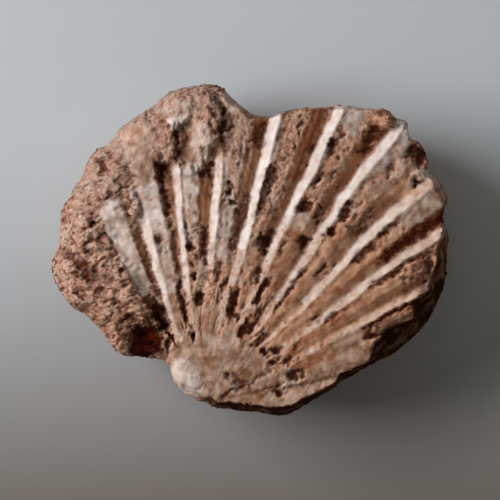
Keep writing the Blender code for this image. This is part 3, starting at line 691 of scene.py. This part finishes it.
# One strip of triangles joins each stretch of the lower rim to the two of the upper rim over it.
count = len(top)
points = np.concatenate([np.column_stack([top, top_height]), np.column_stack([low, low_height])])
low_rim = low_rim + count
low_faces = low_faces[:, ::-1] + count
upper_start, upper_middle, upper_end = rim[::2], rim[1::2], np.roll(rim[::2], -1)
low_end = np.roll(low_rim, -1)
strip = [(low_rim, upper_middle, upper_start), (low_rim, low_end, upper_middle)]
strip.append((low_end, upper_end, upper_middle))
triangles = np.concatenate([np.stack(corners, axis=1) for corners in strip])


# The weathered skin: each sand grain and pore of the rock, and the fine chips on the shell, pushed out
# of or into that surface along its own direction, so the sides are as rough as the top.
GRAIN_SIZE, GRAIN_HEIGHT = 0.62, 0.15
GRAIN_LEVEL, GRAIN_SPREAD = 0.6, 0.75  # grains stand out above this share, and reach this far in sizes
PORE_SIZE, PORE_DEPTH, PORE_DIRT = 0.85, 0.20, 0.6
FINE_SIZE, FINE_ON_ROCK, FINE_ON_SHELL = 0.5, 0.06, 0.02  # the finest crumbs
CHIP_WAVE, CHIP_WAVE_SIZE = 0.05, 1.3  # shallow chips on the shell
WALL_SLOPE = (0.35, 0.75)  # how much less than straight up a side's normal points
WALL_ROUGH, LOWER_ROUGH = 0.75, 0.9  # the sides and the underside are always rough
MOST_PUSH = 0.1  # mm at the rim, so that the outline keeps its size
RESTING = 0.02  # mm, below which the underside lies flat
RECESS_SHADE_RINGS, RECESS_SHADE_DEPTH = 3, 0.25  # rock is painted darker as shade where it is this far below what is around it
PAINTED_SHADE_CLIMB = (3, 9)  # mm up the sides, over which the painted shade comes in
PAINTED_SHADE_PATCH, PAINTED_SHADE_LEAST, PAINTED_SHADE_SPREAD = 2.5, 0.8, 0.4  # the painted shade is patchy


def grains(points, size):
    """Rounded grains of this size: 1 on the middle of each, falling to about 0 between them."""
    near = [noise.voronoi(Vector(p / size))[0][0] for p in points]
    return 1 - np.clip(np.array(near) / GRAIN_SPREAD, 0, 1) ** 2


normals = vertex_normals(points, [top_faces, low_faces, triangles])
wall = smooth(1 - normals[:, 2], *WALL_SLOPE)
wall[:count] *= 1 - shows["cream"]
rough = np.concatenate([shows["rock"], np.full(len(low), LOWER_ROUGH)])
rough = np.maximum(rough, WALL_ROUGH * wall)
rough[count:] *= low_height > RESTING
pores = smooth(cloud(points, PORE_SIZE, seed=17, octaves=2), 0.45, 1.0)
fine = cloud(points, FINE_SIZE, seed=23, octaves=2)
on_rock = GRAIN_HEIGHT * (grains(points, GRAIN_SIZE) - GRAIN_LEVEL)
on_rock += FINE_ON_ROCK * fine - PORE_DEPTH * pores
on_shell = CHIP_WAVE * cloud(points, CHIP_WAVE_SIZE, seed=29, octaves=2) + FINE_ON_SHELL * fine
push = rough * on_rock + (1 - rough) * on_shell
push[rim] = np.minimum(push[rim], MOST_PUSH)
points += normals * push[:, None]
points[count:][low_height <= RESTING, 2] = 0
points[:, 2] = np.maximum(points[:, 2], 0)

# Painted shade: rock lying lower than the ground around it is coloured darker red, as shade in recesses.
level = points[:count, 2].reshape(2 * HALF + 1, -1)
shifts = (-RECESS_SHADE_RINGS, 0, RECESS_SHADE_RINGS)
around = np.mean([np.roll(level, (i, j), (0, 1)) for i in shifts for j in shifts], axis=0)
lower = (around - level).ravel() * (top_ring < HALF - RECESS_SHADE_RINGS)
shows["sunk"] = smooth(lower, 0.0, RECESS_SHADE_DEPTH) * rough[:count]
shows["rock"] = rough
dirt_and_painted_shade = PORE_DIRT * rough * pores
dirt_and_painted_shade[:count] = np.maximum(dirt_and_painted_shade[:count], shows["dirt_and_painted_shade"])
# Painted shade on the sides turned away from the light, rising up the underside's band; the upper side keeps
# its own.
painted_shade = np.interp(bearing(points[:, :2], MIDDLE), *zip(*PAINTED_SHADE)) * smooth(points[:, 2], *PAINTED_SHADE_CLIMB)
painted_shade[:count] = shows["painted_shade"]

# The outline's box is centred on the frame.
points[:, :2] -= (np.min(OUTLINE, axis=0) + np.max(OUTLINE, axis=0)) / 2
painted_shade *= PAINTED_SHADE_LEAST + PAINTED_SHADE_SPREAD * smooth(cloud(points, PAINTED_SHADE_PATCH, seed=101, octaves=3), -0.6, 0.6)
shows["dirt_and_painted_shade"], shows["painted_shade"] = dirt_and_painted_shade, painted_shade
mesh = bpy.data.meshes.new("ribbed_fossil")
faces = [corners for group in (top_faces, low_faces, triangles) for corners in group.tolist()]
mesh.from_pydata(points * MM, [], faces)
for name, values in shows.items():
    shown = np.zeros(len(points), np.float32)
    shown[: len(values)] = values
    mesh.attributes.new(name, "FLOAT", "POINT").data.foreach_set("value", shown)
mesh.shade_smooth()
fossil = bpy.data.objects.new("ribbed_fossil", mesh)
bpy.context.scene.collection.objects.link(fossil)
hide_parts("brachiopod_fossil")
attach(fossil, "root")


# Weathered calcite over sandy limestone. Calcite is cream and a little waxy on the crests, grey where
# it is bare on the rib tops, and stained by iron in the grooves. The limestone is dull and gritty.
SHARE, UNDER, OVER, MIXED = 0, 6, 7, 2  # a Mix node's sockets when it mixes colours
EDGE_GRAIN, EDGE_FRAY = 0.5, 1.3  # mm, and how far noise of that size moves a finish's edge


def linear(code):
    """A linear colour from an sRGB hex code."""
    parts = [int(code[i:i + 2], 16) / 255 for i in (1, 3, 5)]
    return tuple(c / 12.92 if c <= 0.04045 else ((c + 0.055) / 1.055) ** 2.4 for c in parts) + (1,)


def add(tree, kind, links=None, **settings):
    """A node with its settings, and links or values for its inputs."""
    made = tree.nodes.new("ShaderNode" + kind)
    for name, value in settings.items():
        setattr(made, name, value)
    for socket, value in (links or {}).items():
        if isinstance(value, bpy.types.NodeSocket):
            tree.links.new(value, made.inputs[socket])
        else:
            made.inputs[socket].default_value = value
    return made


stone = bpy.data.materials.new("weathered_calcite_and_sandy_limestone")
stone.use_nodes = True
tree = stone.node_tree
surface = tree.nodes["Principled BSDF"]
place = add(tree, "TexCoord").outputs["Object"]
masks = {name: add(tree, "Attribute", attribute_name=name).outputs["Fac"] for name in shows}
frayed = add(tree, "TexNoise", {"Vector": place, "Scale": 1 / (EDGE_GRAIN * MM), "Detail": 3}).outputs["Fac"]
frayed = {"Value": frayed, "From Min": 0.3, "From Max": 0.7, "To Min": -EDGE_FRAY, "To Max": EDGE_FRAY}
frayed = add(tree, "MapRange", frayed).outputs["Result"]

# These finishes fray into the next: most where one is half strong, and not where it is full or absent.
for name in ("cream", "bare", "ochre", "amber", "iron", "dirt_and_painted_shade"):
    mask = masks[name]
    rest = add(tree, "Math", {0: 1, 1: mask}, operation="SUBTRACT").outputs["Value"]
    half = add(tree, "Math", {0: rest, 1: mask}, operation="MULTIPLY").outputs["Value"]
    mask = add(tree, "Math", {0: half, 1: frayed, 2: mask}, operation="MULTIPLY_ADD", use_clamp=True)
    masks[name] = mask.outputs["Value"]

# Limestone: pinkish at the far left and more orange to the lower right where iron has soaked in, with
# pale quartz grains, dark gaps between them, and slanted chinks where it is loose.
SAND_CLOUD, GRIT, FINE_CHINK = 2.5, 0.45, 0.6  # mm. The real grit is finer than would show
LOWER_RIGHT = (0.8, -0.6, 0)
SOAKED = {"left": (-22, 2), "right": (0, 18), "far right": (7, 22)}  # from and to, mm that way
lower_right = add(tree, "VectorMath", {0: place, 1: LOWER_RIGHT}, operation="DOT_PRODUCT").outputs["Value"]
soaked = {}
for name, (start, end) in SOAKED.items():
    span = {"Value": lower_right, "From Min": start * MM, "From Max": end * MM}
    soaked[name] = add(tree, "MapRange", span).outputs["Result"]
cloudy = add(tree, "TexNoise", {"Vector": place, "Scale": 1 / (SAND_CLOUD * MM), "Detail": 3}).outputs["Fac"]
cloudy = {"Value": cloudy, "From Min": 0.42, "From Max": 0.72, "To Max": 0.7}
cloudy = add(tree, "MapRange", cloudy).outputs["Result"]
gritty = {"Vector": place, "Scale": 1 / (GRIT * MM), "Detail": 3, "Roughness": 0.65}
gritty = add(tree, "TexNoise", gritty).outputs["Fac"]
quartz = add(tree, "MapRange", {"Value": gritty, "From Min": 0.54, "From Max": 0.74}).outputs["Result"]
gaps = add(tree, "MapRange", {"Value": gritty, "From Min": 0.44, "From Max": 0.26}).outputs["Result"]
slanted = {"Vector": place, "Rotation": (0, 0, math.radians(CHINK_TURN)), "Scale": (CHINK_LONG, 1, 1)}
slanted = add(tree, "Mapping", slanted, vector_type="TEXTURE").outputs["Vector"]
chinks = {"Vector": slanted, "Scale": 1 / (FINE_CHINK * MM), "Detail": 2}
chinks = add(tree, "TexNoise", chinks).outputs["Fac"]
chinks = add(tree, "MapRange", {"Value": chinks, "From Min": 0.45, "From Max": 0.32}).outputs["Result"]
chinks = add(tree, "Math", {0: chinks, 1: masks["loose"]}, operation="MULTIPLY").outputs["Value"]
sand = linear("#B89684")
for share, tint in (
    (soaked["left"], "#D6A082"),
    (soaked["right"], "#DFA484"),
    (cloudy, "#A0664C"),
    (quartz, "#E0C6B3"),
    (gaps, "#602A12"),
    (chinks, "#783E24"),
):
    coat = {SHARE: share, UNDER: sand, OVER: linear(tint)}
    sand = add(tree, "Mix", coat, data_type="RGBA").outputs[MIXED]

# Calcite: tan on the worn beak, grey where bare, cream on the crests and warmer cream to the lower
# right, ochre and amber where stained. Each is mottled with a second shade.
MOTTLE, RECESS_SHADE_STRENGTH = 1.6, 0.5  # mm, and how strongly painted shade darkens what lies deeper
CALCITE = {
    "tan": ("#8E6248", "#C8A48E"),
    "grey": ("#BEA294", "#E2CEC4"),
    "ochre": ("#BE7E5C", "#E6B08E"),
    "amber": ("#B07A52", "#945C3C"),
    "cream": ("#CBB3A6", "#E0CFC6"),
    "warm cream": ("#B8947C", "#DCBEA8"),
}
mottled = add(tree, "TexNoise", {"Vector": place, "Scale": 1 / (MOTTLE * MM), "Detail": 4}).outputs["Fac"]
mottled = add(tree, "MapRange", {"Value": mottled, "From Min": 0.36, "From Max": 0.64}).outputs["Result"]
calcite = {}
for name, (under, over) in CALCITE.items():
    coat = {SHARE: mottled, UNDER: linear(under), OVER: linear(over)}
    calcite[name] = add(tree, "Mix", coat, data_type="RGBA").outputs[MIXED]
cream = {SHARE: soaked["far right"], UNDER: calcite["cream"], OVER: calcite["warm cream"]}
cream = add(tree, "Mix", cream, data_type="RGBA").outputs[MIXED]
# Dark red-brown for dirt, and for painted shade in the deep hollow, the lowered panels and pits.
dirt_and_painted_shade = {SHARE: soaked["far right"], UNDER: linear("#361008"), OVER: linear("#5C1C0A")}
dirt_and_painted_shade = add(tree, "Mix", dirt_and_painted_shade, data_type="RGBA").outputs[MIXED]
sunk = add(tree, "Math", {0: masks["sunk"], 1: RECESS_SHADE_STRENGTH}, operation="MULTIPLY").outputs["Value"]
colour = calcite["tan"]
for share, over in (
    (masks["rock"], sand),
    (masks["bare"], calcite["grey"]),
    (masks["ochre"], calcite["ochre"]),
    (masks["amber"], calcite["amber"]),
    (masks["iron"], linear("#8E4C2A")),
    (masks["cream"], cream),
    (masks["dirt_and_painted_shade"], dirt_and_painted_shade),
    # painted shade in recesses
    (sunk, linear("#601E06")),
    # painted shade on the steep side turned away from the light
    (masks["painted_shade"], linear("#3E1E10")),
):
    coat = {SHARE: share, UNDER: colour, OVER: over}
    colour = add(tree, "Mix", coat, data_type="RGBA").outputs[MIXED]
tree.links.new(colour, surface.inputs["Base Color"])

# Calcite reflects with an IOR of about 1.5 and has a low waxy sheen on the crests. The limestone
# hardly shines, and its finest grit is in the bump alone.
TINY_GRIT, GRIT_HEIGHT = 0.35, 0.2  # mm
surface.inputs["IOR"].default_value = 1.5
waxy = add(tree, "MapRange", {"Value": masks["cream"], "To Min": 0.02, "To Max": 0.5}).outputs["Result"]
tree.links.new(waxy, surface.inputs["Specular IOR Level"])
dull = add(tree, "MapRange", {"Value": masks["rock"], "To Min": 0.62, "To Max": 0.92}).outputs["Result"]
tree.links.new(dull, surface.inputs["Roughness"])
tiny = add(tree, "TexNoise", {"Vector": place, "Scale": 1 / (TINY_GRIT * MM), "Detail": 4, "Roughness": 0.7})
firm = add(tree, "MapRange", {"Value": masks["rock"], "To Min": 0.15, "To Max": 1.0}).outputs["Result"]
bump = add(tree, "Bump", {"Strength": firm, "Height": tiny.outputs["Fac"], "Distance": GRIT_HEIGHT * MM})
tree.links.new(bump.outputs["Normal"], surface.inputs["Normal"])
mesh.materials.append(stone)


# The studio: a sheet of matt paper with painted shade that darkens and warms it towards the near side, one
# large soft window low on the left, and the faint light of the room around it.
FLOOR_HALF = 1.5  # metres, far past the view
PAINTED_FLOOR_SHADE_FAR, PAINTED_FLOOR_SHADE_NEAR = 20, -55  # mm, where the paper's painted shade starts and ends
corners = [(x * FLOOR_HALF, y * FLOOR_HALF, 0) for x, y in ((-1, -1), (1, -1), (1, 1), (-1, 1))]
floor_mesh = bpy.data.meshes.new("floor")
floor_mesh.from_pydata(corners, [], [(0, 1, 2, 3)])
floor = bpy.data.objects.new("floor", floor_mesh)
bpy.context.scene.collection.objects.link(floor)
paper = bpy.data.materials.new("matt_paper_with_painted_shade")
paper.use_nodes = True
tree = paper.node_tree
sheet = tree.nodes["Principled BSDF"]
north = add(tree, "SeparateXYZ", {"Vector": add(tree, "TexCoord").outputs["Object"]}).outputs["Y"]
painted_floor_shade = {"Value": north, "From Min": PAINTED_FLOOR_SHADE_FAR * MM, "From Max": PAINTED_FLOOR_SHADE_NEAR * MM}
painted_floor_shade = add(tree, "MapRange", painted_floor_shade, interpolation_type="SMOOTHSTEP").outputs["Result"]
# Painted shade: the paper darkens and warms towards the near side.
shade = {SHARE: painted_floor_shade, UNDER: linear("#C7CACE"), OVER: linear("#665647")}
shade = add(tree, "Mix", shade, data_type="RGBA").outputs[MIXED]
tree.links.new(shade, sheet.inputs["Base Color"])
sheet.inputs["Roughness"].default_value = 0.9
floor_mesh.materials.append(paper)

KEY_DISTANCE, KEY_WIDTH, KEY_TALL, KEY_POWER = 0.6, 0.46, 0.34, 4.85  # metres and watts
KEY_BEARING, KEY_HEIGHT = 164, 30  # degrees
key_light = bpy.data.lights.new("window", "AREA")
key_light.shape = "RECTANGLE"
key_light.size = KEY_WIDTH
key_light.size_y = KEY_TALL
key_light.energy = KEY_POWER
key_light.color = linear("#F8FCFF")[:3]
key = bpy.data.objects.new("window", key_light)
bpy.context.scene.collection.objects.link(key)
around, up = math.radians(KEY_BEARING), math.radians(KEY_HEIGHT)
toward_key = Vector((math.cos(up) * math.cos(around), math.cos(up) * math.sin(around), math.sin(up)))
key.location = toward_key * KEY_DISTANCE
key.rotation_euler = (-key.location).to_track_quat("-Z", "Y").to_euler()

ROOM_LIGHT = 0.19
room = bpy.data.worlds.new("room")
room.use_nodes = True
glow = room.node_tree.nodes["Background"]
glow.inputs["Color"].default_value = linear("#F6F8EE")
glow.inputs["Strength"].default_value = ROOM_LIGHT
bpy.context.scene.world = room
bpy.context.scene.view_settings.view_transform = "Standard"


# The camera looks straight down from far off, so the sides hardly show, and it sees 70 mm across at the
# height of the rim.
CAMERA_HEIGHT, SEEN_WIDTH, CLIP_END = 1.5, 0.070, 10  # metres
camera_data = bpy.data.cameras.new("camera")
camera = bpy.data.objects.new("camera", camera_data)
bpy.context.scene.collection.objects.link(camera)
camera.location = (0, 0, CAMERA_HEIGHT)
camera_data.lens = camera_data.sensor_width * (CAMERA_HEIGHT - RIM_Z * MM) / SEEN_WIDTH
camera_data.clip_end = CLIP_END
bpy.context.scene.camera = camera
